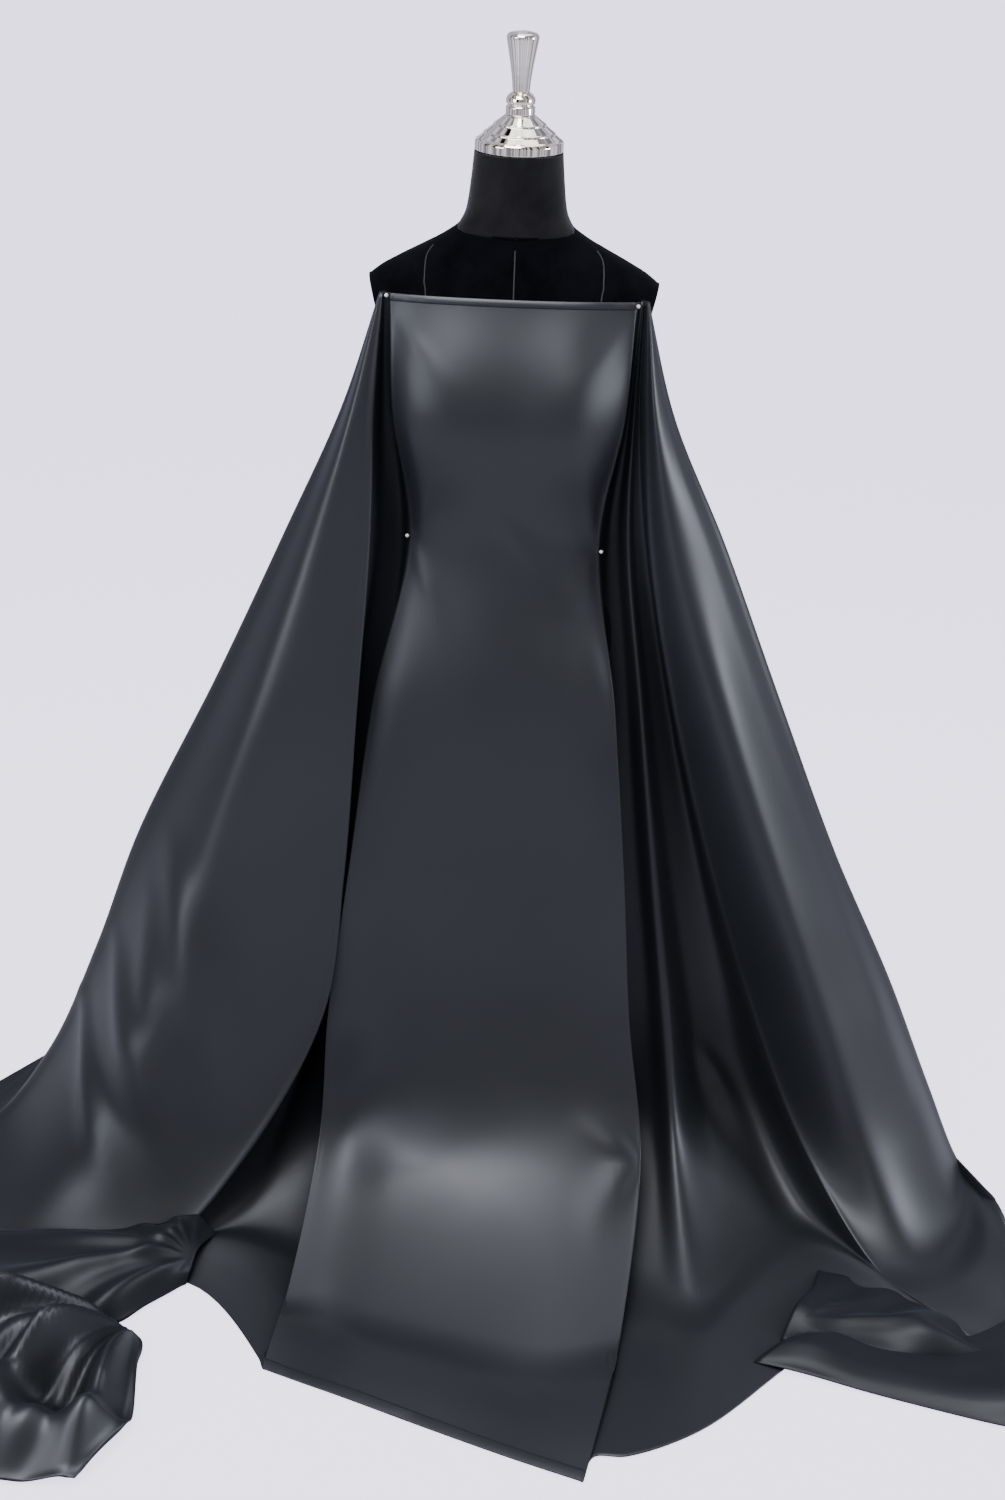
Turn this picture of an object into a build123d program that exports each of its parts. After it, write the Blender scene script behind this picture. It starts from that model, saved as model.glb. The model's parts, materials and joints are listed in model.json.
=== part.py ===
"""Dress form mannequin: a velvet-covered female torso on a height-adjustable, swivelling pole stand,
with a chrome neck cap and finial, dressed with a length of satin that is held on by four pins.

Millimetres. +Z is up, the front of the form faces -Y, and the origin is on the floor under the pole.
The form is drawn at its lowest height setting.
"""

from build123d import *

import os
from math import acos, cos, degrees, exp, hypot, radians, sin

os.makedirs("parts", exist_ok=True)

# ---------------------------------------------------------------- driving dimensions
waist_z = 945.0  # height of the waist at the lowest setting
torso_bottom_z = waist_z - 290.0
neck_top_z = waist_z + 485.0
neck_tilt = 4.0  # degrees the neck's top leans forward
cover_thickness = 3.0  # velvet and its padding
shell_thickness = 5.0
shell_gap = 3.0  # air between the cover and the hard shell

base_radius = 180.0
base_thickness = 10.0
foot_height = 4.0
column_radius = 16.0
column_wall = 1.5
column_top_z = 600.0
pole_radius = 12.7
pole_wall = 1.6
pole_bottom_z = 60.0
running_gap = 0.1  # radial, wherever one part slides or turns in another
height_travel = 250.0

plate_top_z = foot_height + base_thickness
column_bore = column_radius - column_wall

# ---------------------------------------------------------------- torso outline
# height above the waist, half width, depth in front of the axis, depth behind it
torso_levels = [
    (-290, 142, 90.5, 100.5),
    (-240, 153, 98, 112),
    (-185, 163, 103, 120),
    (-110, 153, 101, 104),
    (-50, 132, 91, 84),
    (0, 118, 81, 74),
    (50, 122, 84, 78),
    (110, 134, 92, 87),
    (165, 142.5, 99, 92.5),
    (215, 149, 98, 97),
    (250, 162, 89.5, 98),
    (285, 179, 78.5, 97),
    (310, 185.5, 69.5, 93),
    (328, 183.5, 63, 88.5),
    (340, 171, 58, 84),
    (354, 147, 53.5, 78),
    (370, 116, 50, 71),
    (384, 90, 49, 66),
    (398, 71, 50, 62),
    (415, 62.5, 52, 59),
    (450, 57.5, 54, 54.5),
    (500, 53, 54.5, 50),
]
outline_points = 16  # per torso section
outline_power = 0.85  # under 1 makes the front and back fuller than an ellipse
bust_up = 165.0  # bust line above the waist
bust_apex_x = 78.0
bust_projection = 20.0
bust_height = 52.0
bust_width = 38.0


def torso_point(level, inset, angle):
    """A point on one horizontal section of the torso. The angle runs from the side, 0, by the back, 90."""
    up, half_width, front, back = level
    turn = radians(angle)
    fullness = abs(sin(turn)) ** outline_power
    x = (half_width - inset) * cos(turn)
    if sin(turn) > 0:
        return x, (back - inset) * fullness
    bust = bust_projection * exp(-(((up - bust_up) / bust_height) ** 2))
    cup = exp(-(((abs(x) - bust_apex_x) / bust_width) ** 2)) * min(1, 1.4 * abs(sin(turn)))
    return x, -(front - inset) * fullness - bust * cup


def torso_section(level, inset):
    """Points round one whole section of the torso, drawn in by inset."""
    return [torso_point(level, inset, 360 * i / outline_points) for i in range(outline_points)]


def wall_section(level, insets, start, end, points):
    """The face of a wall between two insets at one height, from one angle to another."""
    angles = [start + (end - start) * i / (points - 1) for i in range(points)]
    with BuildSketch(Plane.XY.offset(waist_z + level[0])) as section:
        with BuildLine():
            outside = Spline(*[torso_point(level, insets[0], angle) for angle in angles])
            inside = Spline(*[torso_point(level, insets[1], angle) for angle in angles])
            Line(outside @ 0, inside @ 0)
            Line(outside @ 1, inside @ 1)
        make_face()
    return section.sketch.face()


# ---------------------------------------------------------------- planes that end the torso
lean = radians(neck_tilt)
neck_centre = (0, 1, neck_top_z)
neck_axis_dir = (0, -sin(lean), cos(lean))
neck_plane = Plane(origin=neck_centre, x_dir=(1, 0, 0), z_dir=neck_axis_dir)
neck_profile = Plane(origin=neck_centre, x_dir=(1, 0, 0), z_dir=(0, -cos(lean), -sin(lean)))
neck_axis = Axis(neck_centre, neck_axis_dir)
neck_seam = Plane(origin=(0, 0, waist_z + 398), x_dir=(1, 0, 0), z_dir=(0, -0.24, 0.97))

# ---------------------------------------------------------------- armholes
armhole_x = 178.0  # of the armhole's face, at the height of armhole_z
armhole_z = waist_z + 317
armhole_slant = 16.0  # degrees the armhole faces downward
armhole_half_height = 62.0
armhole_half_width = 39.0
armhole_centre = (3.5, -45.8)  # on its face: behind the shoulder seam, and above armhole_z
armplate_thickness = 6.0
slant = radians(armhole_slant)
armhole_face = Plane(
    origin=(armhole_x, 0, armhole_z), x_dir=(0, 1, 0), z_dir=(cos(slant), 0, -sin(slant))
)


def armhole_block(inward, outward, clearance):
    """A block with the +X armhole's oval outline, from inward inside its face to outward outside it."""
    with BuildPart() as block:
        with BuildSketch(armhole_face.offset(-inward)):
            with Locations(armhole_centre):
                Ellipse(armhole_half_width - clearance, armhole_half_height - clearance)
        extrude(amount=inward + outward)
    return block.part


armhole_cut = armhole_block(20, 30, 0)


def save(part, name):
    part.label = name
    export_step(part, f"parts/{name}.step")


# ---------------------------------------------------------------- hard shell, moulded in two halves
shell_inset = cover_thickness + shell_gap
shell_insets = (shell_inset, shell_inset + shell_thickness)
shell_points = 13
seam_half_gap = 0.6  # degrees, so that neighbouring pieces stay apart

for name, side in (("torso_shell_front", -1), ("torso_shell_back", 1)):
    with BuildPart() as torso_shell:
        sections = []
        for level in torso_levels:
            ends = (side * seam_half_gap, side * (180 - seam_half_gap))
            sections.append(wall_section(level, shell_insets, *ends, shell_points))
        loft(sections, ruled=True)
        split(bisect_by=neck_plane, keep=Keep.BOTTOM)
        add(armhole_cut, mode=Mode.SUBTRACT)
        add(armhole_cut.mirror(Plane.YZ), mode=Mode.SUBTRACT)
    save(torso_shell.part, name)

# ---------------------------------------------------------------- velvet cover, sewn from panels
# The princess seam runs straight down from mid shoulder, in at the waist and out again over the hip.
seam_x = 108.0  # on the shoulder
seam_share = 0.587  # of the half width, further down
shoulder_up = 315
side_panel_top_up = 384
tip_angle = 4.0  # of a side panel at the top of the shoulder
cover_insets = (0, cover_thickness)


def seam_angle(level):
    """The angle of the princess seam on one section."""
    up, half_width = level[:2]
    share = seam_x / half_width if up > shoulder_up else min(seam_x / half_width, seam_share)
    return max(degrees(acos(min(share, 1))), tip_angle)


for face, side in (("front", -1), ("back", 1)):
    with BuildPart() as centre_panel:
        sections = []
        for level in torso_levels[:-2]:
            start = seam_angle(level) if level[0] <= side_panel_top_up else 0
            ends = (side * (start + seam_half_gap), side * (90 - seam_half_gap))
            sections.append(wall_section(level, cover_insets, *ends, 7))
        loft(sections, ruled=True)
        split(bisect_by=neck_seam, keep=Keep.BOTTOM)
    with BuildPart() as side_panel:
        sections = []
        for level in torso_levels:
            if level[0] <= side_panel_top_up:
                ends = (side * seam_half_gap, side * (seam_angle(level) - seam_half_gap))
                sections.append(wall_section(level, cover_insets, *ends, 6))
        loft(sections, ruled=True)
        add(armhole_cut, mode=Mode.SUBTRACT)
    for zone, panel in (("centre", centre_panel), ("side", side_panel)):
        save(panel.part, f"{face}_{zone}_panel_right")
        save(panel.part.mirror(Plane.YZ), f"{face}_{zone}_panel_left")

# The neck's cover closes with a seam down its back.
with BuildPart() as neck_cover:
    back_seam = (90 + seam_half_gap, 450 - seam_half_gap)
    sections = []
    for level in torso_levels:
        if level[0] >= 370:
            sections.append(wall_section(level, cover_insets, *back_seam, outline_points))
    loft(sections, ruled=True)
    split(bisect_by=neck_seam.offset(0.2), keep=Keep.TOP)
    split(bisect_by=neck_plane, keep=Keep.BOTTOM)
save(neck_cover.part, "neck_cover")

# ---------------------------------------------------------------- armhole plates
with BuildPart() as armplate_right:
    add(armhole_block(armplate_thickness - 1, 1, 0.5))
    fillet(armplate_right.edges().filter_by(GeomType.ELLIPSE), 1)
save(armplate_right.part, "armplate_right")
save(armplate_right.part.mirror(Plane.YZ), "armplate_left")

# ---------------------------------------------------------------- hip board and pole socket
board_thickness = 12.0
board_z = torso_bottom_z + 1
board_hole_radius = 18.0
socket_flange_radius = 52.0
socket_flange_thickness = 4.0
socket_wall = 3.7
socket_bottom_z = 631.0
socket_top_z = 748.0
socket_radius = pole_radius + running_gap + socket_wall
screw_circle_radius = 38.0
screw_radius = 2.0
set_screw_radius = 3.0
set_screw_z = 641.0
flange_bottom_z = board_z - socket_flange_thickness

with BuildPart() as hip_board:
    with BuildSketch(Plane.XY.offset(board_z)):
        with BuildLine():
            Spline(*torso_section(torso_levels[0], shell_inset + shell_thickness + 1), periodic=True)
        make_face()
        Circle(board_hole_radius, mode=Mode.SUBTRACT)
        with PolarLocations(screw_circle_radius, 4, start_angle=45):
            Circle(screw_radius + 0.05, mode=Mode.SUBTRACT)
    extrude(amount=board_thickness)
save(hip_board.part, "hip_board")

with BuildPart() as pole_socket:
    with BuildSketch(Plane.XY.offset(socket_bottom_z)):
        Circle(socket_radius)
    extrude(amount=socket_top_z + 4 - socket_bottom_z)
    with BuildSketch(Plane.XY.offset(flange_bottom_z)):
        Circle(socket_flange_radius)
        with PolarLocations(screw_circle_radius, 4, start_angle=45):
            Circle(screw_radius + 0.1, mode=Mode.SUBTRACT)
    extrude(amount=socket_flange_thickness)
    with BuildSketch(Plane.XY.offset(socket_bottom_z)):
        Circle(pole_radius + running_gap)
    extrude(amount=socket_top_z - socket_bottom_z, mode=Mode.SUBTRACT)
    with BuildSketch(Plane.YZ.offset(-socket_radius - 1)):
        with Locations((0, set_screw_z)):
            Circle(set_screw_radius + 0.05)
    extrude(amount=2 * socket_radius + 2, mode=Mode.SUBTRACT)
save(pole_socket.part, "pole_socket")

with BuildPart() as socket_screws:
    with BuildSketch(Plane.XY.offset(flange_bottom_z)):
        with PolarLocations(screw_circle_radius, 4, start_angle=45):
            Circle(screw_radius)
    extrude(amount=socket_flange_thickness + 9)
    with BuildSketch(Plane.XY.offset(flange_bottom_z)):
        with PolarLocations(screw_circle_radius, 4, start_angle=45):
            Circle(2 * screw_radius)
    extrude(amount=-2.4)
    fillet(socket_screws.faces().sort_by(Axis.Z)[0:4].edges(), 1.2)
save(socket_screws.part, "socket_screws")

with BuildPart() as socket_set_screws:
    for side in (1, -1):
        start = Plane(origin=(side * (pole_radius + 0.02), 0, set_screw_z), z_dir=(side, 0, 0))
        with BuildSketch(start):
            Circle(set_screw_radius)
        extrude(amount=7.5)
save(socket_set_screws.part, "socket_set_screws")

# ---------------------------------------------------------------- inner pole
with BuildPart() as inner_pole:
    with BuildSketch(Plane.XY.offset(pole_bottom_z)):
        Circle(pole_radius)
        Circle(pole_radius - pole_wall, mode=Mode.SUBTRACT)
    extrude(amount=socket_top_z - 0.5 - pole_bottom_z)
save(inner_pole.part, "inner_pole")

guide_length = 35.0
with BuildPart() as pole_guide:
    with BuildSketch(Plane.XY.offset(pole_bottom_z)):
        Circle(column_bore - running_gap)
        Circle(pole_radius + 0.02, mode=Mode.SUBTRACT)
    extrude(amount=guide_length)
save(pole_guide.part, "pole_guide")

# ---------------------------------------------------------------- base
bolt_radius = 6.0
recess_radius = 15.0
recess_depth = 6.0
foot_radius = 11.0
foot_circle_radius = 158.0
foot_count = 6
edge_fillet = 4.0

with BuildPart() as base_plate:
    with BuildSketch(Plane.XY.offset(foot_height)):
        Circle(base_radius)
        Circle(bolt_radius + 0.25, mode=Mode.SUBTRACT)
    extrude(amount=base_thickness)
    with BuildSketch(Plane.XY.offset(foot_height)):
        Circle(recess_radius)
    extrude(amount=recess_depth, mode=Mode.SUBTRACT)
    rim = base_plate.edges().filter_by(GeomType.CIRCLE).group_by(SortBy.RADIUS)[-1]
    fillet(rim.sort_by(Axis.Z)[-1], edge_fillet)
save(base_plate.part, "base_plate")

with BuildPart() as base_feet:
    with BuildSketch():
        with PolarLocations(foot_circle_radius, foot_count):
            Circle(foot_radius)
    extrude(amount=foot_height)
save(base_feet.part, "base_feet")

washer_thickness = 1.6
bolt_head_height = 6.5
recess_top_z = foot_height + recess_depth
with BuildPart() as base_washer:
    with BuildSketch(Plane.XY.offset(recess_top_z - washer_thickness)):
        Circle(12)
        Circle(bolt_radius + 0.3, mode=Mode.SUBTRACT)
    extrude(amount=washer_thickness)
save(base_washer.part, "base_washer")

cap_wall = 2.0
cap_floor = 1.6
with BuildPart() as bolt_cap:
    with BuildSketch():
        Circle(recess_radius - 0.1)
    extrude(amount=recess_top_z - 0.1)
    with BuildSketch(Plane.XY.offset(cap_floor)):
        Circle(recess_radius - 0.1 - cap_wall)
    extrude(amount=recess_top_z, mode=Mode.SUBTRACT)
save(bolt_cap.part, "bolt_cap")

plug_height = 42.0
with BuildPart() as base_bolt:
    with BuildSketch(Plane.XY.offset(recess_top_z - washer_thickness - bolt_head_height)):
        RegularPolygon(9.5, 6, major_radius=False)
    extrude(amount=bolt_head_height)
    with BuildSketch(Plane.XY.offset(recess_top_z - washer_thickness)):
        Circle(bolt_radius - 0.05)
    extrude(amount=plug_height)
save(base_bolt.part, "base_bolt")

with BuildPart() as column_plug:
    with BuildSketch(Plane.XY.offset(plate_top_z)):
        Circle(column_bore - 0.05)
        Circle(bolt_radius, mode=Mode.SUBTRACT)
    extrude(amount=plug_height)
save(column_plug.part, "column_plug")

flange_radius = 52.0
flange_bore = column_radius + 0.1
with BuildPart() as column_flange:
    with BuildSketch(Plane.XZ):
        with BuildLine():
            Polyline(
                (flange_bore, plate_top_z),
                (flange_radius, plate_top_z),
                (flange_radius, plate_top_z + 5),
                (flange_radius - 3, plate_top_z + 7),
                (40, plate_top_z + 13),
                (40, plate_top_z + 15.5),
                (28, plate_top_z + 22),
                (28, plate_top_z + 24.5),
                (20, plate_top_z + 30),
                (20, plate_top_z + 40),
                (flange_bore, plate_top_z + 40),
                close=True,
            )
        make_face()
    revolve(axis=Axis.Z)
save(column_flange.part, "column_flange")

with BuildPart() as outer_column:
    with BuildSketch(Plane.XY.offset(plate_top_z)):
        Circle(column_radius)
        Circle(column_bore, mode=Mode.SUBTRACT)
    extrude(amount=column_top_z - plate_top_z)
save(outer_column.part, "outer_column")

bush_flange = 4.0
bush_radius = 18.5
bush_depth = 36.0
with BuildPart() as column_bush:
    with BuildSketch(Plane.XY.offset(column_top_z - bush_depth)):
        Circle(column_bore - 0.05)
    extrude(amount=bush_depth)
    with BuildSketch(Plane.XY.offset(column_top_z)):
        Circle(bush_radius)
    extrude(amount=bush_flange)
    with BuildSketch(Plane.XY.offset(column_top_z - bush_depth)):
        Circle(pole_radius + running_gap)
    extrude(amount=bush_depth + bush_flange, mode=Mode.SUBTRACT)
    fillet(column_bush.edges().filter_by(GeomType.CIRCLE).group_by(SortBy.RADIUS)[-1], 1)
save(column_bush.part, "column_bush")

# ---------------------------------------------------------------- height collar and its clamp
collar_bottom_z = column_top_z + bush_flange + 0.1
collar_height = 25.0
collar_radius = 24.0
boss_radius = 9.0
boss_end_y = 33.0
clamp_z = collar_bottom_z + collar_height / 2
clamp_radius = 4.0
shoe_end_y = 16.0

with BuildPart() as height_collar:
    with BuildSketch(Plane.XY.offset(collar_bottom_z)):
        Circle(collar_radius)
    extrude(amount=collar_height)
    fillet(height_collar.edges().filter_by(GeomType.CIRCLE), 2)
    with BuildSketch(Plane(origin=(0, 10, clamp_z), z_dir=(0, 1, 0))):
        Circle(boss_radius)
    extrude(amount=boss_end_y - 10)
    with BuildSketch(Plane.XY.offset(collar_bottom_z)):
        Circle(pole_radius + running_gap)
    extrude(amount=collar_height, mode=Mode.SUBTRACT)
    with BuildSketch(Plane(origin=(0, 8, clamp_z), z_dir=(0, 1, 0))):
        Circle(clamp_radius + 0.05)
    extrude(amount=boss_end_y, mode=Mode.SUBTRACT)
save(height_collar.part, "height_collar")

with BuildPart() as clamp_shoe:
    with BuildSketch(Plane(origin=(0, pole_radius + 0.05, clamp_z), z_dir=(0, 1, 0))):
        Circle(clamp_radius)
    extrude(amount=shoe_end_y - pole_radius - 0.1)
save(clamp_shoe.part, "clamp_shoe")

knob_start_y = boss_end_y + 2
knob_length = 20.0
knob_radius = 19.0
lobe_radius = 6.0
lobe_count = 6
clamp_screw_end_y = knob_start_y + 14
with BuildPart() as clamp_screw:
    with BuildSketch(Plane(origin=(0, shoe_end_y, clamp_z), z_dir=(0, 1, 0))):
        Circle(clamp_radius)
    extrude(amount=clamp_screw_end_y - shoe_end_y)
save(clamp_screw.part, "clamp_screw")

with BuildPart() as clamp_knob:
    with BuildSketch(Plane(origin=(0, knob_start_y, clamp_z), z_dir=(0, 1, 0))):
        Circle(knob_radius - 3)
        with PolarLocations(knob_radius - lobe_radius, lobe_count):
            Circle(lobe_radius)
    extrude(amount=knob_length)
    fillet(clamp_knob.faces().sort_by(Axis.Y)[-1].edges(), 2)
    with BuildSketch(Plane(origin=(0, knob_start_y, clamp_z), z_dir=(0, 1, 0))):
        Circle(clamp_radius)
    extrude(amount=clamp_screw_end_y - knob_start_y, mode=Mode.SUBTRACT)
save(clamp_knob.part, "clamp_knob")

# ---------------------------------------------------------------- neck board, cap and finial
stud_radius = 4.0
neck_board_radius = 37.5
neck_board_thickness = 12.0
neck_board_drop = 3.0
nut_height = 6.5
stud_bottom = -(neck_board_drop + neck_board_thickness + washer_thickness + nut_height + 4)
stud_top = 96.0
cap_height = 42.0
ferrule_height = 26.0
finial_bottom = cap_height + ferrule_height
finial_height = 70.0


def turned(points, bore):
    """A solid of revolution about the neck's axis from (radius, height) points, closed along its bore."""
    with BuildPart() as part:
        with BuildSketch(neck_profile):
            with BuildLine():
                Polyline((bore, points[0][1]), *points, (bore, points[-1][1]), close=True)
            make_face()
        revolve(axis=neck_axis)
    return part.part


with BuildPart() as neck_board:
    with BuildSketch(neck_plane.offset(-neck_board_drop)):
        Circle(neck_board_radius)
        Circle(stud_radius + 0.05, mode=Mode.SUBTRACT)
    extrude(amount=-neck_board_thickness)
save(neck_board.part, "neck_board")

nut_top = -(neck_board_drop + neck_board_thickness + washer_thickness)
with BuildPart() as neck_nut:
    with BuildSketch(neck_plane.offset(nut_top)):
        RegularPolygon(6.5, 6, major_radius=False)
        Circle(stud_radius + 0.02, mode=Mode.SUBTRACT)
    extrude(amount=-nut_height)
save(neck_nut.part, "neck_nut")

with BuildPart() as neck_washer:
    with BuildSketch(neck_plane.offset(nut_top)):
        Circle(10)
        Circle(stud_radius + 0.1, mode=Mode.SUBTRACT)
    extrude(amount=washer_thickness)
save(neck_washer.part, "neck_washer")

with BuildPart() as finial_stud:
    with BuildSketch(neck_plane.offset(stud_bottom)):
        Circle(stud_radius)
    extrude(amount=stud_top - stud_bottom)
save(finial_stud.part, "finial_stud")

cap_outside = [
    (54.0, 0.1),
    (54.6, 1.2),
    (54.6, 10.5),
    (53.4, 13.2),
    (51.0, 14.6),
    (44.0, 20.0),
    (44.0, 21.8),
    (42.6, 22.4),
    (32.4, 30.2),
    (32.4, 32.0),
    (31.0, 32.6),
    (20.6, 40.4),
    (19.0, cap_height),
]
with BuildPart() as neck_cap:
    with BuildSketch(neck_profile):
        with BuildLine():
            Polyline(
                *cap_outside,
                (stud_radius + 0.1, cap_height),
                (stud_radius + 0.1, cap_height - 2),
                (17.5, cap_height - 2.5),
                (52.6, 11.0),
                (52.6, 0.1),
                close=True,
            )
        make_face()
    revolve(axis=neck_axis)
save(neck_cap.part, "neck_cap")

ferrule = turned(
    [
        (17.4, cap_height + 0.05),
        (18.0, cap_height + 1),
        (18.0, cap_height + 9),
        (17.2, cap_height + 10.5),
        (15.8, cap_height + 11.2),
        (15.8, cap_height + 12.4),
        (17.4, cap_height + 13.2),
        (18.2, cap_height + 16),
        (17.6, cap_height + 20),
        (14.6, cap_height + 23.6),
        (11.6, finial_bottom),
    ],
    stud_radius + 0.1,
)
save(ferrule, "finial_ferrule")

with BuildPart() as finial:
    with BuildSketch(neck_profile):
        with BuildLine():
            flare = Spline(
                (10.4, finial_bottom + 0.15),
                (12.4, finial_bottom + 20),
                (16.6, finial_bottom + 45),
                (19.7, finial_bottom + 61),
            )
            rim_arc = ThreePointArc(
                flare @ 1,
                (18.6, finial_bottom + 65.6),
                (14.5, finial_bottom + 68),
            )
            dome = Spline(rim_arc @ 1, (7.5, finial_bottom + 69.5), (0, finial_bottom + finial_height))
            Polyline(
                dome @ 1,
                (0, stud_top + 2),
                (stud_radius + 0.05, stud_top + 2),
                (stud_radius + 0.05, finial_bottom + 0.15),
                flare @ 0,
            )
        make_face()
    revolve(axis=neck_axis)
save(finial.part, "finial")

# ---------------------------------------------------------------- satin drape
# Half outlines of the hanging fabric from the middle of its front panel to the hidden end of its side
# wing, at falling heights. The fabric is open at the back.
drape_levels = [
    (1262, 3, [(0, -75), (-90, -72), (-150, -57), (-160, -55), (-170, -54), (-178, -50), (-182, -44)]),
    (1110, 4, [(0, -118), (-84, -117), (-147, -76), (-165, -62), (-185, -88), (-212, -50), (-190, 0)]),
    (940, 4, [(0, -102), (-90, -90), (-123, -54), (-150, -45), (-185, -98), (-290, -48), (-260, 60)]),
    (740, 4, [(0, -134), (-100, -124), (-158, -100), (-180, -75), (-225, -115), (-380, -45), (-350, 110)]),
    (400, 5, [(0, -150), (-115, -145), (-210, -160), (-235, -100), (-320, -150), (-530, -40), (-490, 180)]),
    (120, 6, [(0, -230), (-120, -225), (-225, -235), (-245, -145), (-400, -215), (-660, -40), (-610, 240)]),
    (14, 8, [(0, -600), (-150, -590), (-260, -540), (-320, -320), (-570, -640), (-860, -160), (-780, 310)]),
    (2, 8, [(0, -660), (-160, -650), (-290, -600), (-350, -350), (-600, -750), (-940, -200), (-860, 340)]),
]


def drape_outline(half, thickness):
    """The closed outline of the fabric at one height: along its outside, then back along its inside,
    which is on the +Y side of the front panel. Folds are mitred, to keep the thickness even."""
    outside = [(-x, y) for x, y in reversed(half[1:])] + half
    normals = []
    for (x0, y0), (x1, y1) in zip(outside, outside[1:]):
        length = hypot(x1 - x0, y1 - y0)
        normals.append(((y1 - y0) / length, (x0 - x1) / length))
    inside = []
    for i, (x, y) in enumerate(outside):
        (ax, ay), (bx, by) = normals[max(i - 1, 0)], normals[min(i, len(normals) - 1)]
        mitre = thickness / (1 + ax * bx + ay * by)
        inside.append((x + mitre * (ax + bx), y + mitre * (ay + by)))
    return outside + inside[::-1]


with BuildPart() as satin_drape:
    for height, thickness, half in drape_levels:
        with BuildSketch(Plane.XY.offset(height)):
            with BuildLine():
                Polyline(*drape_outline(half, thickness), close=True)
            make_face()
    loft(ruled=True)
save(satin_drape.part, "satin_drape")

# ---------------------------------------------------------------- pins
pin_radius = 0.4
pin_length = 30.0
pin_head_radius = 2.4
# head centre, and the direction the pin points from its head
pins = [
    ((-156.7, -61, 1259.6), (0.25, 0.75, -0.61)),
    ((154.6, -62, 1257.7), (-0.2, 0.75, -0.63)),
    ((-126.5, -60.5, waist_z + 8), (0.72, 0.69, -0.05)),
    ((126.5, -60.5, waist_z - 4), (-0.72, 0.69, -0.05)),
]
with BuildPart() as pin_heads:
    for centre, _ in pins:
        with Locations(centre):
            Sphere(pin_head_radius)
save(pin_heads.part, "pin_heads")

with BuildPart() as pin_shafts:
    for centre, direction in pins:
        with BuildSketch(Plane(origin=centre, z_dir=direction).offset(pin_head_radius)):
            Circle(pin_radius)
        extrude(amount=pin_length)
save(pin_shafts.part, "pin_shafts")
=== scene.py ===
import json
import math

import bpy
import numpy as np
from mathutils import Matrix


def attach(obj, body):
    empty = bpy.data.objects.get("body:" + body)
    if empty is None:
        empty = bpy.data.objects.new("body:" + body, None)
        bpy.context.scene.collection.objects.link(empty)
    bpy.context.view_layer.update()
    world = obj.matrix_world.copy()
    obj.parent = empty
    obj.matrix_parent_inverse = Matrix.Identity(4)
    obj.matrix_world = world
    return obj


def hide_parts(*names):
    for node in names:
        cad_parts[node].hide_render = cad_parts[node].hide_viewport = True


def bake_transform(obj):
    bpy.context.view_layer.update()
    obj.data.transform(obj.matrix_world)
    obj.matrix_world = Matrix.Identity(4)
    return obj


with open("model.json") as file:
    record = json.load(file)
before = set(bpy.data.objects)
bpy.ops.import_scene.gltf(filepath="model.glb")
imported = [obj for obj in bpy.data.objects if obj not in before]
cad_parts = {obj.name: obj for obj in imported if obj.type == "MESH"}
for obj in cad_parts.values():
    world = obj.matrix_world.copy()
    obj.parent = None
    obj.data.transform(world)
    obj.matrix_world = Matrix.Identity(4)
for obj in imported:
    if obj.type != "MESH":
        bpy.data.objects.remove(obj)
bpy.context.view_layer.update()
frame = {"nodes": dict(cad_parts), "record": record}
nodes = frame["nodes"]
scene = bpy.context.scene

# ------------------------------------------------------------------ material helpers


def new_material(name):
    """A material with its nodes, and its main shader."""
    material = bpy.data.materials.new(name)
    material.use_nodes = True
    return material, material.node_tree, material.node_tree.nodes["Principled BSDF"]


def set_values(shader, **values):
    """Sets the shader's inputs by name, with underscores for spaces."""
    for name, value in values.items():
        shader.inputs[name.replace("_", " ")].default_value = value


def noise(tree, scale, detail=3.0, roughness=0.5, stretch=(1, 1, 1)):
    """A noise texture in object space, stretched along its axes."""
    coordinates = tree.nodes.new("ShaderNodeTexCoord")
    mapping = tree.nodes.new("ShaderNodeMapping")
    mapping.inputs["Scale"].default_value = stretch
    texture = tree.nodes.new("ShaderNodeTexNoise")
    texture.inputs["Scale"].default_value = scale
    texture.inputs["Detail"].default_value = detail
    texture.inputs["Roughness"].default_value = roughness
    tree.links.new(coordinates.outputs["Object"], mapping.inputs["Vector"])
    tree.links.new(mapping.outputs["Vector"], texture.inputs["Vector"])
    return texture


def to_range(tree, source, low, high, start=0.3, end=0.7):
    """The source's values from start to end, mapped to low to high."""
    remap = tree.nodes.new("ShaderNodeMapRange")
    for name, value in (("From Min", start), ("From Max", end), ("To Min", low), ("To Max", high)):
        remap.inputs[name].default_value = value
    tree.links.new(source, remap.inputs["Value"])
    return remap.outputs["Result"]


def mix_colours(tree, factor, low, high):
    """A colour between low and high."""
    mix = tree.nodes.new("ShaderNodeMix")
    mix.data_type = "RGBA"
    mix.inputs["A"].default_value = (*low, 1)
    mix.inputs["B"].default_value = (*high, 1)
    tree.links.new(factor, mix.inputs["Factor"])
    return mix.outputs["Result"]


def add_bump(tree, shader, height, strength, distance):
    """A bump from height, on top of any bump the shader has."""
    bump = tree.nodes.new("ShaderNodeBump")
    bump.inputs["Strength"].default_value = strength
    bump.inputs["Distance"].default_value = distance
    tree.links.new(height, bump.inputs["Height"])
    for link in shader.inputs["Normal"].links:
        tree.links.new(link.from_socket, bump.inputs["Normal"])
    tree.links.new(bump.outputs["Normal"], shader.inputs["Normal"])


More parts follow.
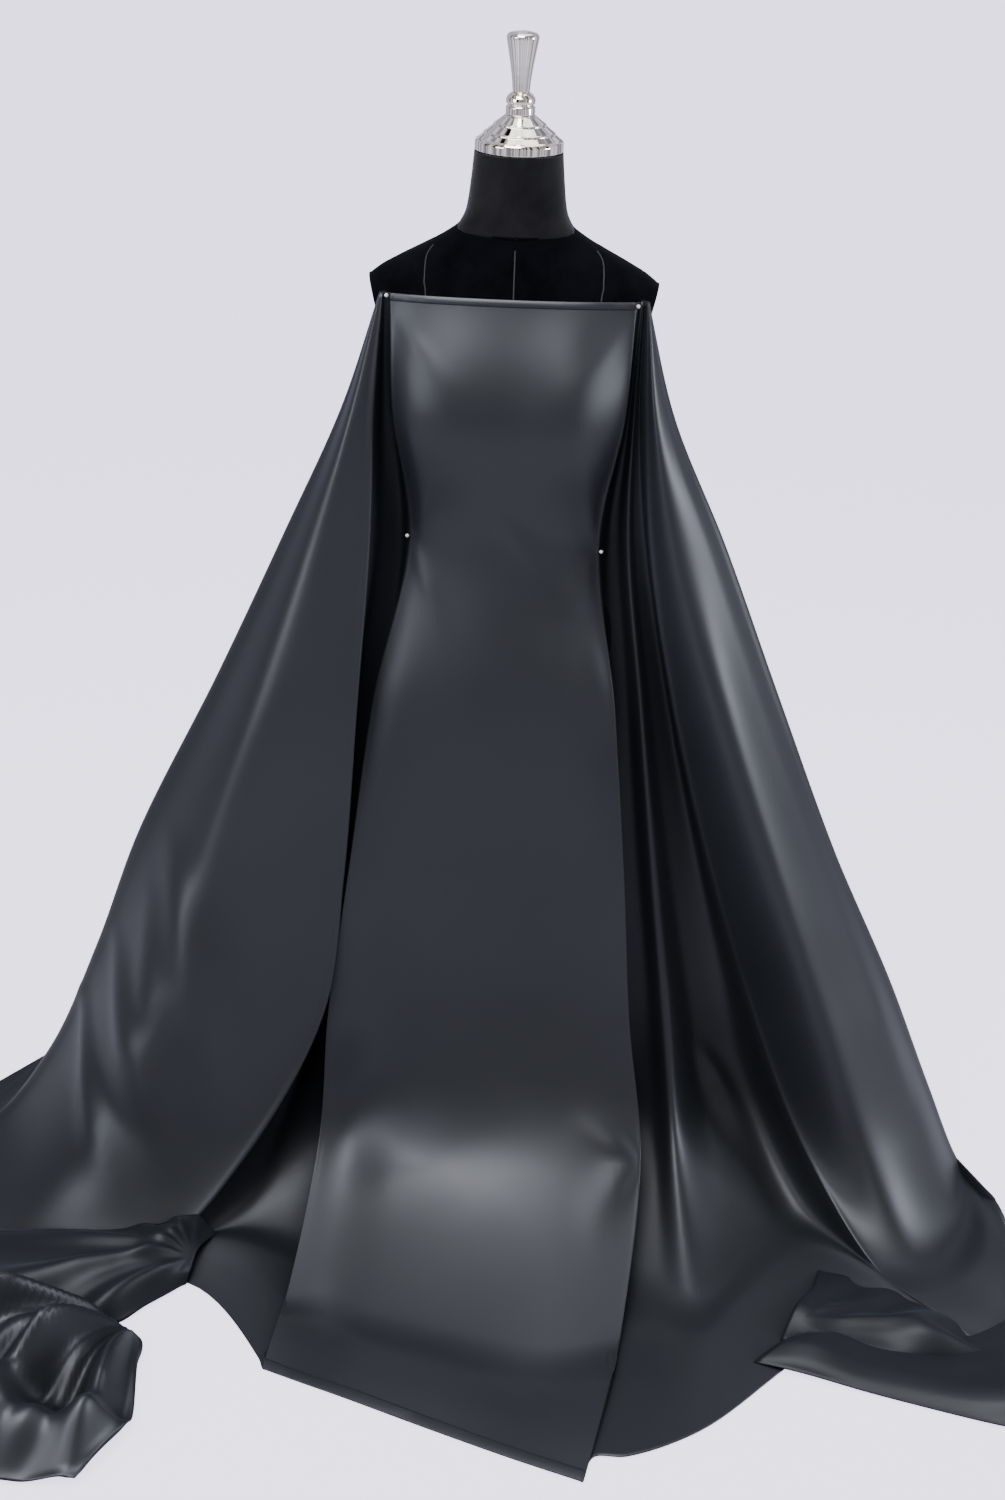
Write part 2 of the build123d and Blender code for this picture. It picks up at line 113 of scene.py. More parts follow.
def satin_material(name, shine):
    """Heavy charcoal satin: a fine weave, and a broad, soft shine with this specular level in the open."""
    material, tree, shader = new_material(name)
    set_values(shader, Anisotropic=0.3, Sheen_Roughness=0.4)
    shader.inputs["Sheen Tint"].default_value = (0.45, 0.55, 0.75, 1)
    shader.inputs["Specular Tint"].default_value = (0.87, 0.90, 1.0, 1)
    dark, light = (0.0085, 0.0098, 0.0125), (0.0115, 0.013, 0.016)
    shades = to_range(tree, noise(tree, 2.3, 2).outputs["Fac"], 0, 1)
    tree.links.new(mix_colours(tree, shades, dark, light), shader.inputs["Base Color"])
    tree.links.new(to_range(tree, noise(tree, 7, 3).outputs["Fac"], 0.41, 0.47), shader.inputs["Roughness"])
    # painted shade: deep between folds, where little of the room reaches the cloth, the shine and sheen are
    # turned down
    recess = tree.nodes.new("ShaderNodeAmbientOcclusion")
    recess.inputs["Distance"].default_value = 0.3
    recess.samples = 6
    openness = recess.outputs["AO"]
    tree.links.new(to_range(tree, openness, 0.02, shine, 0.3, 0.85), shader.inputs["Specular IOR Level"])
    tree.links.new(to_range(tree, openness, 0, 0.1, 0.4, 0.9), shader.inputs["Sheen Weight"])
    weave = noise(tree, 900, 2, 0.6, (1, 1, 0.22))
    add_bump(tree, shader, weave.outputs["Fac"], 0.2, 0.0003)
    slub = noise(tree, 22, 4, 0.6, (1, 1, 0.15))
    add_bump(tree, shader, slub.outputs["Fac"], 0.06, 0.002)
    return material


def velvet_material(name, dark, light, sheen, shine):
    """Black velvet pile: it lightens at grazing angles and shows brushed patches."""
    material, tree, shader = new_material(name)
    set_values(shader, Roughness=0.95, Specular_IOR_Level=shine, Sheen_Weight=sheen, Sheen_Roughness=0.42)
    shader.inputs["Sheen Tint"].default_value = (0.72, 0.74, 0.85, 1)
    patches = noise(tree, 14, 5, 0.65)
    brushed = to_range(tree, patches.outputs["Fac"], 0, 1, 0.35, 0.65)
    tree.links.new(mix_colours(tree, brushed, dark, light), shader.inputs["Base Color"])
    add_bump(tree, shader, noise(tree, 1500, 2).outputs["Fac"], 0.5, 0.0006)
    add_bump(tree, shader, patches.outputs["Fac"], 0.15, 0.002)
    return material


def metal_material(name, colour, rough_low, rough_high):
    """A polished or brushed metal with faint smears."""
    material, tree, shader = new_material(name)
    set_values(shader, Metallic=1.0)
    shader.inputs["Base Color"].default_value = (*colour, 1)
    smears = noise(tree, 45, 4, 0.6)
    tree.links.new(to_range(tree, smears.outputs["Fac"], rough_low, rough_high), shader.inputs["Roughness"])
    return material


def plain_material(name, low, high, roughness, scale=60, bump=0.1, stretch=(1, 1, 1)):
    """A non-metal with a grain between two colours."""
    material, tree, shader = new_material(name)
    set_values(shader, Roughness=roughness)
    grain = noise(tree, scale, 5, 0.6, stretch)
    shades = to_range(tree, grain.outputs["Fac"], 0, 1)
    tree.links.new(mix_colours(tree, shades, low, high), shader.inputs["Base Color"])
    add_bump(tree, shader, grain.outputs["Fac"], bump, 0.001)
    return material


satin = satin_material("satin_charcoal", 0.8)
# a duller copy of the satin, painted shade for three of the heaps on the floor that lie in shade
shaded_satin = satin_material("satin_painted_shade", 0.38)
velvet = velvet_material("velvet_black", (0.0008, 0.0009, 0.0018), (0.0034, 0.0036, 0.0055), 0.035, 0.03)
neck_velvet = velvet_material("velvet_neck", (0.004, 0.004, 0.0056), (0.0125, 0.0125, 0.0148), 0.22, 0.12)
chrome = metal_material("chrome_warm", (0.88, 0.84, 0.74), 0.0, 0.0)
steel = metal_material("steel_brushed", (0.56, 0.56, 0.57), 0.28, 0.4)
rubber = plain_material("rubber_black", (0.012, 0.012, 0.012), (0.022, 0.022, 0.022), 0.75)
plywood = plain_material("plywood_raw", (0.42, 0.27, 0.14), (0.58, 0.41, 0.24), 0.6, 18, 0.2, (1, 9, 9))
shell = plain_material("shell_grey", (0.30, 0.28, 0.26), (0.36, 0.34, 0.31), 0.6)
nylon = plain_material("nylon_black", (0.015, 0.015, 0.017), (0.025, 0.025, 0.028), 0.45)
knob = plain_material("knob_black", (0.008, 0.008, 0.009), (0.014, 0.014, 0.015), 0.22, 90, 0.03)
pearl = plain_material("pearl", (0.78, 0.74, 0.69), (0.90, 0.88, 0.84), 0.18, 120, 0.02)
# a lighter colour for the tubes along the seams: painted highlight for the sheen on their rolled edges
painted_seam_sheen = plain_material("painted_seam_sheen", (0.02, 0.02, 0.025), (0.035, 0.035, 0.042), 0.9)
slot_materials = {
    "velvet": velvet,
    "satin": satin,
    "chrome": chrome,
    "steel": steel,
    "rubber": rubber,
    "plywood": plywood,
    "shell": shell,
    "nylon": nylon,
    "knob": knob,
    "pearl": pearl,
}
for entry in frame["record"]["subparts"]:
    node = nodes[entry["node"]]
    node.data.materials.clear()
    node.data.materials.append(slot_materials[entry["material_slot"]])

# ------------------------------------------------------------------ mesh helpers


def curve_through(knots, values, at):
    """Rows of values at the given places, on a smooth curve through the knots that doesn't overshoot them."""
    steps = np.diff(knots)[:, None]
    slopes = np.diff(values, axis=0) / steps
    tangents = np.empty_like(values)
    tangents[0], tangents[-1] = slopes[0], slopes[-1]
    before, after = slopes[:-1], slopes[1:]
    same_way = before * after > 0
    weight_a = 2 * steps[1:] + steps[:-1]
    weight_b = steps[1:] + 2 * steps[:-1]
    with np.errstate(divide="ignore", invalid="ignore"):
        harmonic = (weight_a + weight_b) / (weight_a / before + weight_b / after)
    tangents[1:-1] = np.where(same_way, harmonic, 0)
    i = np.clip(np.searchsorted(knots, at, side="right") - 1, 0, len(knots) - 2)
    step = steps[i]
    t = (at - knots[i])[:, None] / step
    return (
        (2 * t**3 - 3 * t**2 + 1) * values[i]
        + (t**3 - 2 * t**2 + t) * step * tangents[i]
        + (3 * t**2 - 2 * t**3) * values[i + 1]
        + (t**3 - t**2) * step * tangents[i + 1]
    )


def grid_object(name, points, material, thickness=0.0):
    """A mesh from a grid of points (rows, columns, 3), smooth, with an optional thickness behind it."""
    rows, columns = points.shape[:2]
    mesh = bpy.data.meshes.new(name)
    index = np.arange(rows * columns).reshape(rows, columns)
    quads = np.stack([index[:-1, :-1], index[1:, :-1], index[1:, 1:], index[:-1, 1:]], axis=-1).reshape(-1, 4)
    mesh.from_pydata(points.reshape(-1, 3).tolist(), [], quads.tolist())
    mesh.validate()
    mesh.polygons.foreach_set("use_smooth", [True] * len(mesh.polygons))
    mesh.materials.append(material)
    piece = bpy.data.objects.new(name, mesh)
    scene.collection.objects.link(piece)
    if thickness:
        solid = piece.modifiers.new("thickness", "SOLIDIFY")
        solid.thickness = thickness
        solid.offset = -1
    return piece


# ------------------------------------------------------------------ velvet torso
waist_z = 0.945
# height above the waist, half width, depth in front, depth behind, in millimetres
torso_levels = np.array([
    (-290, 142, 90.5, 100.5), (-240, 153, 98, 112), (-185, 163, 103, 120), (-110, 153, 101, 104),
    (-50, 132, 91, 84), (0, 118, 81, 74), (50, 122, 84, 78), (110, 134, 92, 87), (165, 142.5, 99, 92.5),
    (215, 149, 98, 97), (250, 162, 89.5, 98), (285, 179, 78.5, 97), (310, 185.5, 69.5, 93),
    (328, 183.5, 63, 88.5), (340, 171, 58, 84), (354, 147, 53.5, 78), (370, 116, 50, 71), (384, 90, 49, 66),
    (398, 71, 50, 62), (415, 62.5, 52, 59), (450, 57.5, 54, 54.5), (500, 53, 54.5, 50),
], float)  # fmt: skip
torso_levels /= 1000
torso_bottom = torso_levels[0, 0]
# the armhole is a flat cut that leans outward: its x at a height above the waist, its slope, and its ends
armhole_x, armhole_up, armhole_slope = 0.178, 0.317, math.tan(math.radians(16))
armhole_low, armhole_high = 0.214, 0.338
# each breast is a swelling with this centre, radii and rise
breast_x, breast_up, breast_half_width, breast_half_height, breast_rise = 0.078, 0.165, 0.038, 0.052, 0.020
# the seam between torso and neck slopes down to the front: its height above the waist at y 0, and its slope
neck_seam_up, neck_seam_slope = 0.398, 0.247
side_panel_top = 0.384


def torso_surface(up, angle):
    """Points of the velvet's outer face. Arrays of heights above the waist, and angles from the side."""
    sizes = curve_through(torso_levels[:, 0], torso_levels[:, 1:], up.ravel()).reshape(up.shape + (3,))
    half_width, front, back = sizes[..., 0], sizes[..., 1], sizes[..., 2]
    fullness = np.abs(np.sin(angle)) ** 0.85
    x = half_width * np.cos(angle)
    bust = breast_rise * np.exp(-(((up - breast_up) / breast_half_height) ** 2))
    cup = np.exp(-(((np.abs(x) - breast_x) / breast_half_width) ** 2))
    cup *= np.minimum(1, 1.4 * np.abs(np.sin(angle)))
    y = np.where(np.sin(angle) > 0, back * fullness, -front * fullness - bust * cup)
    in_armhole = (up > armhole_low) & (up < armhole_high)
    limit = np.where(in_armhole, armhole_x + (up - armhole_up) * armhole_slope, np.inf)
    x = np.sign(x) * np.minimum(np.abs(x), limit)
    return np.stack([x, y, up + waist_z], axis=-1)


def seam_angle(up):
    """The angle of the princess seam at heights above the waist. It keeps one share of the torso's half width
    up to the shoulder, then one distance from the centre, and ends at the side panels' top."""
    lower_share, shoulder_x, shoulder_up, fade = 0.587, 0.108, 0.315, 0.01
    half_width = curve_through(torso_levels[:, 0], torso_levels[:, 1:2], up)[:, 0]
    upper_share = np.clip(shoulder_x / half_width, 0, 1)
    share = np.where(up > shoulder_up, upper_share, np.minimum(upper_share, lower_share))
    blur = np.hanning(15)
    share = np.convolve(np.pad(share, len(blur) // 2, "edge"), blur / blur.sum(), "valid")
    return np.arccos(np.clip(share, 0, 1)) * np.clip((side_panel_top - up) / fade, 0, 1) ** 0.5


def panel(name, side, mirrored, zone):
    """One velvet panel with its edges rolled in at its seams. side is -1 in front and 1 behind."""
    # a centre panel's points run on past the neck's seam, and those above the seam are lowered to it
    centre_top = 0.402 if side < 0 else 0.416
    up = np.linspace(torso_bottom, centre_top if zone == "centre" else side_panel_top, 260)
    seam = seam_angle(up)
    start, end = (seam, np.full_like(seam, math.pi / 2)) if zone == "centre" else (np.zeros_like(seam), seam)
    across = np.linspace(0, 1, 41)
    across = 0.5 - 0.5 * np.cos(math.pi * across)
    angle = side * (start[:, None] + (end - start)[:, None] * across[None, :])
    points = torso_surface(np.repeat(up[:, None], across.size, 1), angle)
    gap = np.linalg.norm(np.diff(points, axis=1), axis=-1)
    run = np.concatenate([np.zeros((len(up), 1)), np.cumsum(gap, axis=1)], axis=1)
    edge = np.minimum(run, run[:, -1:] - run)
    roll_depth, roll_reach = 0.0016, 0.0014
    rolled = roll_depth * np.exp(-edge / roll_reach)
    centre = points * np.array([0.35, 0, 1])
    inward = centre - points
    inward[..., 2] = 0
    inward /= np.linalg.norm(inward, axis=-1, keepdims=True) + 1e-9
    points = points + inward * rolled[..., None]
    if zone == "centre":
        seam_height = waist_z + neck_seam_up + neck_seam_slope * points[..., 1]
        points[..., 2] = np.minimum(points[..., 2], seam_height)
    if mirrored:
        points[..., 0] *= -1
    if (side > 0) != mirrored:
        points = points[:, ::-1]
    return grid_object(name, points, velvet, 0.002)


for face, side in (("front", -1), ("back", 1)):
    for zone in ("centre", "side"):
        for hand, mirrored in (("right", False), ("left", True)):
            piece = panel(f"velvet_{face}_{zone}_{hand}", side, mirrored, zone)
            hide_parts(f"{face}_{zone}_panel_{hand}")
            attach(piece, "form")


def neck():
    """The neck's tube of velvet, from its sloping seam to the cap, with its lower edge rolled in."""
    neck_end_up, neck_end_slope = 0.4845, 0.0699
    overlap, lip_depth, lip_reach, proud = 0.0008, 0.0012, 0.0022, 0.0006
    middle_of_seam = 0.4
    angle = np.linspace(0, 2 * math.pi, 129)
    depth = torso_surface(np.full_like(angle, middle_of_seam), angle)[:, 1]
    low = neck_seam_up - overlap + neck_seam_slope * depth
    high = neck_end_up + neck_end_slope * depth
    up = low + (high - low) * np.linspace(0, 1, 60)[:, None]
    points = torso_surface(up, np.repeat(angle[None, :], len(up), 0))
    lip = lip_depth * np.exp(-(up - low) / lip_reach)
    outward = points * np.array([1, 1, 0])
    outward /= np.linalg.norm(outward, axis=-1, keepdims=True)
    points = points - outward * (lip[..., None] - proud)
    piece = grid_object("velvet_neck", points[:, ::-1], neck_velvet, 0.0022)
    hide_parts("neck_cover")
    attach(piece, "form")


neck()


def seam_line(name, angles, up):
    """A painted highlight along a seam, for the sheen on its rolled edges: a thin, lighter tube along the
    velvet's surface.
    """
    sheen_line_radius = 0.0009
    path = torso_surface(up, angles)
    along = np.gradient(path, axis=0)
    across = np.cross(along, path * np.array([1, 1, 0]))
    across /= np.linalg.norm(across, axis=-1, keepdims=True)
    outward = np.cross(across, along)
    outward /= np.linalg.norm(outward, axis=-1, keepdims=True)
    ring = np.linspace(0, 2 * math.pi, 7)[None, :, None]
    tube = path[:, None] + sheen_line_radius * (np.cos(ring) * across[:, None] + np.sin(ring) * outward[:, None])
    piece = grid_object(name, tube, painted_seam_sheen)
    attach(piece, "form")


seam_bottom = torso_bottom + 0.005
front_line = np.linspace(seam_bottom, 0.372, 160)
back_line = np.linspace(seam_bottom, 0.395, 160)
princess_angle = seam_angle(front_line)
for face, side, centre_line in (("front", -1, front_line), ("back", 1, back_line)):
    seam_line(f"seam_{face}_centre", np.full_like(centre_line, side * math.pi / 2), centre_line)
    seam_line(f"seam_{face}_princess_right", side * princess_angle, front_line)
    seam_line(f"seam_{face}_princess_left", side * (math.pi - princess_angle), front_line)

# ------------------------------------------------------------------ chrome cap, ferrule and finial
# They are turned about the neck's axis, which leans forward.
neck_lean = math.radians(4)
neck_top = np.array([0, 0.001, 1.43])
edge_round = 0.0005


def turned(name, profile, replaced, body):
    """A piece turned from (radius, height) points, in millimetres above the neck's top, with soft edges."""
    profile = np.array(profile, float) / 1000
    soft = [profile[0]]
    for before, corner, after in zip(profile, profile[1:], profile[2:]):
        # the outer pair of points keeps the shading flat beside the rounded edge
        for other, reaches in ((before, (2.0, 1.0)), (after, (1.0, 2.0))):
            length = np.linalg.norm(other - corner)
            for reach in reaches:
                soft.append(corner + (other - corner) * reach * min(edge_round / length, 0.22))
    soft.append(profile[-1])
    radius, height = np.array(soft).T
    turn = np.linspace(0, 2 * math.pi, 145)
    x = radius[:, None] * np.cos(turn)
    level = radius[:, None] * np.sin(turn)
    height = np.repeat(height[:, None], len(turn), 1)
    y = level * math.cos(neck_lean) - height * math.sin(neck_lean)
    z = level * math.sin(neck_lean) + height * math.cos(neck_lean)
    piece = grid_object(name, np.stack([x, y, z], axis=-1)[:, ::-1] + neck_top, chrome)
    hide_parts(replaced)
    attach(piece, body)


turned("chrome_cap", [
    (50, 0.3), (54.0, 0.1), (54.6, 1.2), (54.6, 10.5), (53.4, 13.2), (51.0, 14.6), (44.0, 20.0), (44.0, 21.8),
    (42.6, 22.4), (32.4, 30.2), (32.4, 32.0), (31.0, 32.6), (20.6, 40.4), (19.0, 42), (4.2, 42),
], "neck_cap", "form")  # fmt: skip
turned("chrome_ferrule", [
    (5, 42.05), (17.4, 42.05), (18.0, 43), (18.0, 51), (17.2, 52.5), (15.8, 53.2), (15.8, 54.4), (17.4, 55.2),
    (18.2, 58), (17.6, 62), (14.6, 65.6), (11.6, 68), (4.3, 68),
], "finial_ferrule", "form")  # fmt: skip
turned("chrome_finial", [
    (4.3, 68.15), (10.4, 68.15), (11.2, 78), (12.4, 88), (14.2, 100), (16.6, 113), (18.3, 122), (19.6, 129),
    (19.7, 131.6), (18.6, 133.8), (16.8, 135.2), (14.5, 136), (7.5, 137.4), (0.01, 138),
], "finial", "finial")  # fmt: skip

# ------------------------------------------------------------------ satin drape
# A rib is a line of the hanging cloth: how near a close pair of ribs is put beside it, in metres, which makes
# a sharp fold, or 0 for none; its x and y at these heights; and three points on the floor.
rib_heights = [1.262, 1.12, 0.95, 0.74, 0.50, 0.30, 0.12, 0.014]
ribs = [
    # left wing, from its hidden back edge to the fold beside the front panel
    (0, [
        (-0.158, -0.036), (-0.19, 0.0), (-0.26, 0.06), (-0.35, 0.11),
        (-0.45, 0.15), (-0.52, 0.18), (-0.59, 0.20), (-0.645, 0.19),
    ], [(-0.69, 0.16, 0.004), (-0.72, 0.12, 0.004), (-0.75, 0.07, 0.003)]),
    (0.03, [
        (-0.166, -0.048), (-0.212, -0.05), (-0.287, -0.045), (-0.383, -0.04),
        (-0.50, -0.035), (-0.575, -0.02), (-0.655, -0.02), (-0.74, -0.05),
    ], [(-0.81, -0.10, 0.006), (-0.87, -0.14, 0.02), (-0.92, -0.18, 0.004)]),
    (0, [
        (-0.165, -0.056), (-0.197, -0.09), (-0.245, -0.11), (-0.31, -0.145),
        (-0.39, -0.165), (-0.46, -0.20), (-0.54, -0.24), (-0.63, -0.32),
    ], [(-0.69, -0.38, 0.02), (-0.73, -0.44, 0.02), (-0.76, -0.50, 0.004)]),
    (0.012, [
        (-0.162, -0.056), (-0.17, -0.085), (-0.173, -0.10), (-0.185, -0.133),
        (-0.20, -0.152), (-0.225, -0.185), (-0.32, -0.25), (-0.43, -0.33),
    ], [(-0.49, -0.36, 0.03), (-0.53, -0.385, 0.02), (-0.57, -0.41, 0.004)]),
    (0, [
        (-0.159, -0.052), (-0.160, -0.050), (-0.162, -0.040), (-0.188, -0.072),
        (-0.205, -0.085), (-0.225, -0.11), (-0.262, -0.165), (-0.325, -0.28),
    ], [(-0.345, -0.32, 0.020), (-0.362, -0.36, 0.012), (-0.385, -0.393, 0.003)]),
    (0, [
        (-0.155, -0.054), (-0.147, -0.052), (-0.136, -0.024), (-0.152, -0.063),
        (-0.174, -0.086), (-0.194, -0.112), (-0.202, -0.150), (-0.222, -0.30),
    ], [(-0.235, -0.37, 0.004), (-0.25, -0.44, 0.003), (-0.275, -0.525, 0.003)]),
    # front panel
    (0.006, [
        (-0.152, -0.057), (-0.147, -0.072), (-0.124, -0.056), (-0.166, -0.100),
        (-0.195, -0.145), (-0.220, -0.17), (-0.228, -0.215), (-0.25, -0.42),
    ], [(-0.255, -0.46, 0.012), (-0.26, -0.505, 0.008), (-0.265, -0.548, 0.003)]),
    (0, [
        (-0.12, -0.066), (-0.122, -0.100), (-0.104, -0.068), (-0.132, -0.112),
        (-0.157, -0.142), (-0.178, -0.166), (-0.186, -0.205), (-0.20, -0.41),
    ], [(-0.198, -0.46, 0.004), (-0.207, -0.52, 0.003), (-0.218, -0.568, 0.003)]),
    (0, [
        (-0.08, -0.072), (-0.084, -0.114), (-0.075, -0.078), (-0.092, -0.118),
        (-0.108, -0.135), (-0.116, -0.158), (-0.118, -0.230), (-0.13, -0.445),
    ], [(-0.138, -0.505, 0.011), (-0.147, -0.555, 0.007), (-0.158, -0.593, 0.003)]),
    (0, [
        (0.0, -0.076), (0.0, -0.112), (0.0, -0.090), (0.0, -0.126),
        (0.0, -0.140), (-0.004, -0.168), (-0.008, -0.252), (-0.03, -0.475),
    ], [(-0.038, -0.54, 0.012), (-0.046, -0.595, 0.008), (-0.055, -0.638, 0.003)]),
    (0, [
        (0.08, -0.072), (0.084, -0.114), (0.075, -0.078), (0.092, -0.118),
        (0.104, -0.134), (0.112, -0.164), (0.114, -0.252), (0.088, -0.50),
    ], [(0.077, -0.565, 0.007), (0.063, -0.63, 0.006), (0.05, -0.682, 0.003)]),
    (0.006, [
        (0.152, -0.058), (0.147, -0.072), (0.124, -0.056), (0.154, -0.100),
        (0.180, -0.142), (0.198, -0.168), (0.222, -0.235), (0.190, -0.475),
    ], [(0.174, -0.56, 0.014), (0.154, -0.645, 0.010), (0.136, -0.715, 0.003)]),
    # right wing, from behind the front panel's edge to its hidden back edge
    (0, [
        (0.158, -0.053), (0.149, -0.050), (0.137, -0.020), (0.148, -0.062),
        (0.166, -0.086), (0.184, -0.108), (0.200, -0.15), (0.185, -0.34),
    ], [(0.175, -0.46, 0.004), (0.165, -0.57, 0.004), (0.150, -0.675, 0.003)]),
    (0, [
        (0.160, -0.053), (0.153, -0.047), (0.150, -0.020), (0.172, -0.046),
        (0.200, -0.070), (0.226, -0.098), (0.244, -0.15), (0.245, -0.34),
    ], [(0.235, -0.45, 0.004), (0.220, -0.56, 0.004), (0.190, -0.672, 0.003)]),
    (0, [
        (0.161, -0.054), (0.158, -0.055), (0.162, -0.040), (0.190, -0.066),
        (0.222, -0.086), (0.250, -0.115), (0.272, -0.18), (0.288, -0.38),
    ], [(0.29, -0.47, 0.010), (0.288, -0.55, 0.006), (0.283, -0.625, 0.003)]),
    (0, [
        (0.162, -0.052), (0.162, -0.052), (0.172, -0.034), (0.205, -0.045),
        (0.248, -0.060), (0.288, -0.075), (0.325, -0.115), (0.37, -0.27),
    ], [(0.382, -0.36, 0.010), (0.392, -0.43, 0.006), (0.402, -0.51, 0.003)]),
    (0, [
        (0.163, -0.051), (0.165, -0.05), (0.185, -0.034), (0.226, -0.035),
        (0.285, -0.045), (0.340, -0.06), (0.392, -0.09), (0.45, -0.20),
    ], [(0.475, -0.27, 0.006), (0.50, -0.33, 0.005), (0.524, -0.392, 0.003)]),
    (0.008, [
        (0.166, -0.056), (0.172, -0.072), (0.188, -0.072), (0.232, -0.074),
        (0.300, -0.080), (0.370, -0.098), (0.450, -0.165), (0.545, -0.31),
    ], [(0.59, -0.38, 0.016), (0.635, -0.43, 0.014), (0.682, -0.483, 0.006)]),
    (0, [
        (0.168, -0.057), (0.184, -0.088), (0.222, -0.104), (0.294, -0.126),
        (0.386, -0.146), (0.466, -0.164), (0.54, -0.21), (0.615, -0.30),
    ], [(0.655, -0.36, 0.02), (0.685, -0.41, 0.02), (0.712, -0.47, 0.006)]),
    (0, [
        (0.169, -0.054), (0.198, -0.075), (0.264, -0.080), (0.348, -0.082),
        (0.453, -0.087), (0.546, -0.098), (0.63, -0.13), (0.685, -0.20),
    ], [(0.715, -0.28, 0.03), (0.735, -0.35, 0.03), (0.745, -0.43, 0.006)]),
    (0.025, [
        (0.168, -0.048), (0.210, -0.05), (0.290, -0.045), (0.380, -0.04),
        (0.485, -0.035), (0.585, -0.03), (0.665, -0.03), (0.715, -0.06),
    ], [(0.735, -0.11, 0.006), (0.748, -0.17, 0.02), (0.76, -0.25, 0.006)]),
    (0, [
        (0.158, -0.036), (0.19, 0.0), (0.26, 0.06), (0.345, 0.11),
        (0.445, 0.15), (0.53, 0.18), (0.585, 0.20), (0.62, 0.19),
    ], [(0.645, 0.15, 0.004), (0.66, 0.11, 0.004), (0.675, 0.06, 0.003)]),
]  # fmt: skip


def rib_net():
    """The ribs as an array (ribs, heights, xyz), with a close pair of ribs added beside each sharp fold."""
    lines = []
    for _, hanging, floor in ribs:
        lines.append(np.array([(x, y, z) for (x, y), z in zip(hanging, rib_heights)] + floor))
    net = []
    for i, (reach, _, _) in enumerate(ribs):
        close = []
        for other in (i - 1, i + 1):
            if reach and 0 <= other < len(ribs):
                away = lines[other] - lines[i]
                length = np.linalg.norm(away, axis=1, keepdims=True)
                close.append(lines[i] + away * np.minimum(reach / length, 0.3))
        net += [close[0], lines[i], close[1]] if close else [lines[i]]
    return np.array(net)


def smooth_through(values, counts):
    """Catmull-Rom samples through values along its first axis, with counts samples in each gap."""
    padded = np.concatenate([2 * values[:1] - values[1:2], values, 2 * values[-1:] - values[-2:-1]])
    samples = []
    for i in range(len(values) - 1):
        a, b, c, d = padded[i : i + 4]
        gaps = np.linalg.norm(np.diff(padded[i : i + 4], axis=0), axis=-1, keepdims=True)
        first, second, third = np.maximum(gaps, 1e-5) ** 0.5
        t0, t1, t2, t3 = 0, first, first + second, first + second + third
        for s in np.linspace(0, 1, counts, endpoint=False):
            t = t1 + (t2 - t1) * s
            p1 = (t1 - t) / (t1 - t0) * a + (t - t0) / (t1 - t0) * b
            p2 = (t2 - t) / (t2 - t1) * b + (t - t1) / (t2 - t1) * c
            p3 = (t3 - t) / (t3 - t2) * c + (t - t2) / (t3 - t2) * d
            q1 = (t2 - t) / (t2 - t0) * p1 + (t - t0) / (t2 - t0) * p2
            q2 = (t3 - t) / (t3 - t1) * p2 + (t - t1) / (t3 - t1) * p3
            samples.append((t2 - t) / (t2 - t1) * q1 + (t - t1) / (t2 - t1) * q2)
    samples.append(values[-1])
    return np.array(samples)


samples_across, samples_down = 9, 22
columns = smooth_through(rib_net(), samples_across)
cloth = smooth_through(np.swapaxes(columns, 0, 1), samples_down)
cloth_thickness = 0.0009
lowest_cloth = 0.0015


def grid_normals(points):
    """Unit normals of a grid, on the side that faces forward on the front panel."""
    down = np.gradient(points, axis=0)
    across = np.gradient(points, axis=1)
    normals = np.cross(down, across)
    normals /= np.linalg.norm(normals, axis=-1, keepdims=True) + 1e-12
    middle = normals[len(points) // 3, points.shape[1] // 2]
    return normals if middle[1] < 0 else -normals


# Soft tension folds: from x, z to x, z on the front, with a half width and a height, in metres.
tension_folds = [
    (-0.03, 1.02, 0.115, 0.84, 0.022, 0.0045),
    (0.115, 0.84, 0.150, 0.68, 0.020, 0.0035),
    (-0.118, 0.945, -0.06, 0.80, 0.016, 0.003),
    (0.118, 0.945, 0.085, 0.86, 0.014, 0.003),
    (-0.118, 0.955, -0.085, 1.06, 0.014, 0.003),
    (0.118, 0.945, 0.09, 1.08, 0.014, 0.003),
    (-0.145, 1.24, -0.06, 1.13, 0.016, 0.002),
    (0.145, 1.24, 0.06, 1.13, 0.016, 0.002),
    (0.222, 0.115, 0.12, 0.17, 0.018, 0.009),
    (0.222, 0.115, 0.13, 0.07, 0.020, 0.007),
    (-0.44, 0.54, -0.34, 0.08, 0.045, 0.016),
    (-0.47, 0.46, -0.45, 0.06, 0.032, 0.012),
    (-0.54, 0.36, -0.40, 0.03, 0.035, 0.016),
    (-0.60, 0.24, -0.48, 0.02, 0.030, 0.014),
    (0.30, 0.22, 0.41, 0.04, 0.020, 0.012),
    (0.62, 0.14, 0.45, 0.52, 0.022, 0.006),
]
normals = grid_normals(cloth)
lift = np.zeros(cloth.shape[:2])
# only cloth that faces forward takes them
facing = normals[..., 1] < -0.05
for x0, z0, x1, z1, width, height in tension_folds:
    way = np.array([x1 - x0, z1 - z0])
    length = np.hypot(*way)
    along = ((cloth[..., 0] - x0) * way[0] + (cloth[..., 2] - z0) * way[1]) / length**2
    beside = ((cloth[..., 0] - x0) * way[1] - (cloth[..., 2] - z0) * way[0]) / length
    # a fold rises soon after its start, and widens and dies away towards its end
    fade = np.clip(along * 2.8, 0, 1) * np.cos(np.clip(along, 0, 1) * math.pi / 2) ** 1.2
    spread = width * (0.45 + 0.75 * np.clip(along, 0, 1))
    lift += np.where(facing, height * fade * np.exp(-((beside / spread) ** 2)), 0)
cloth = cloth + normals * lift[..., None]
cloth[..., 2] = np.maximum(cloth[..., 2], lowest_cloth)
drape = grid_object("satin_cloth", cloth, satin, cloth_thickness)
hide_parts("satin_drape")
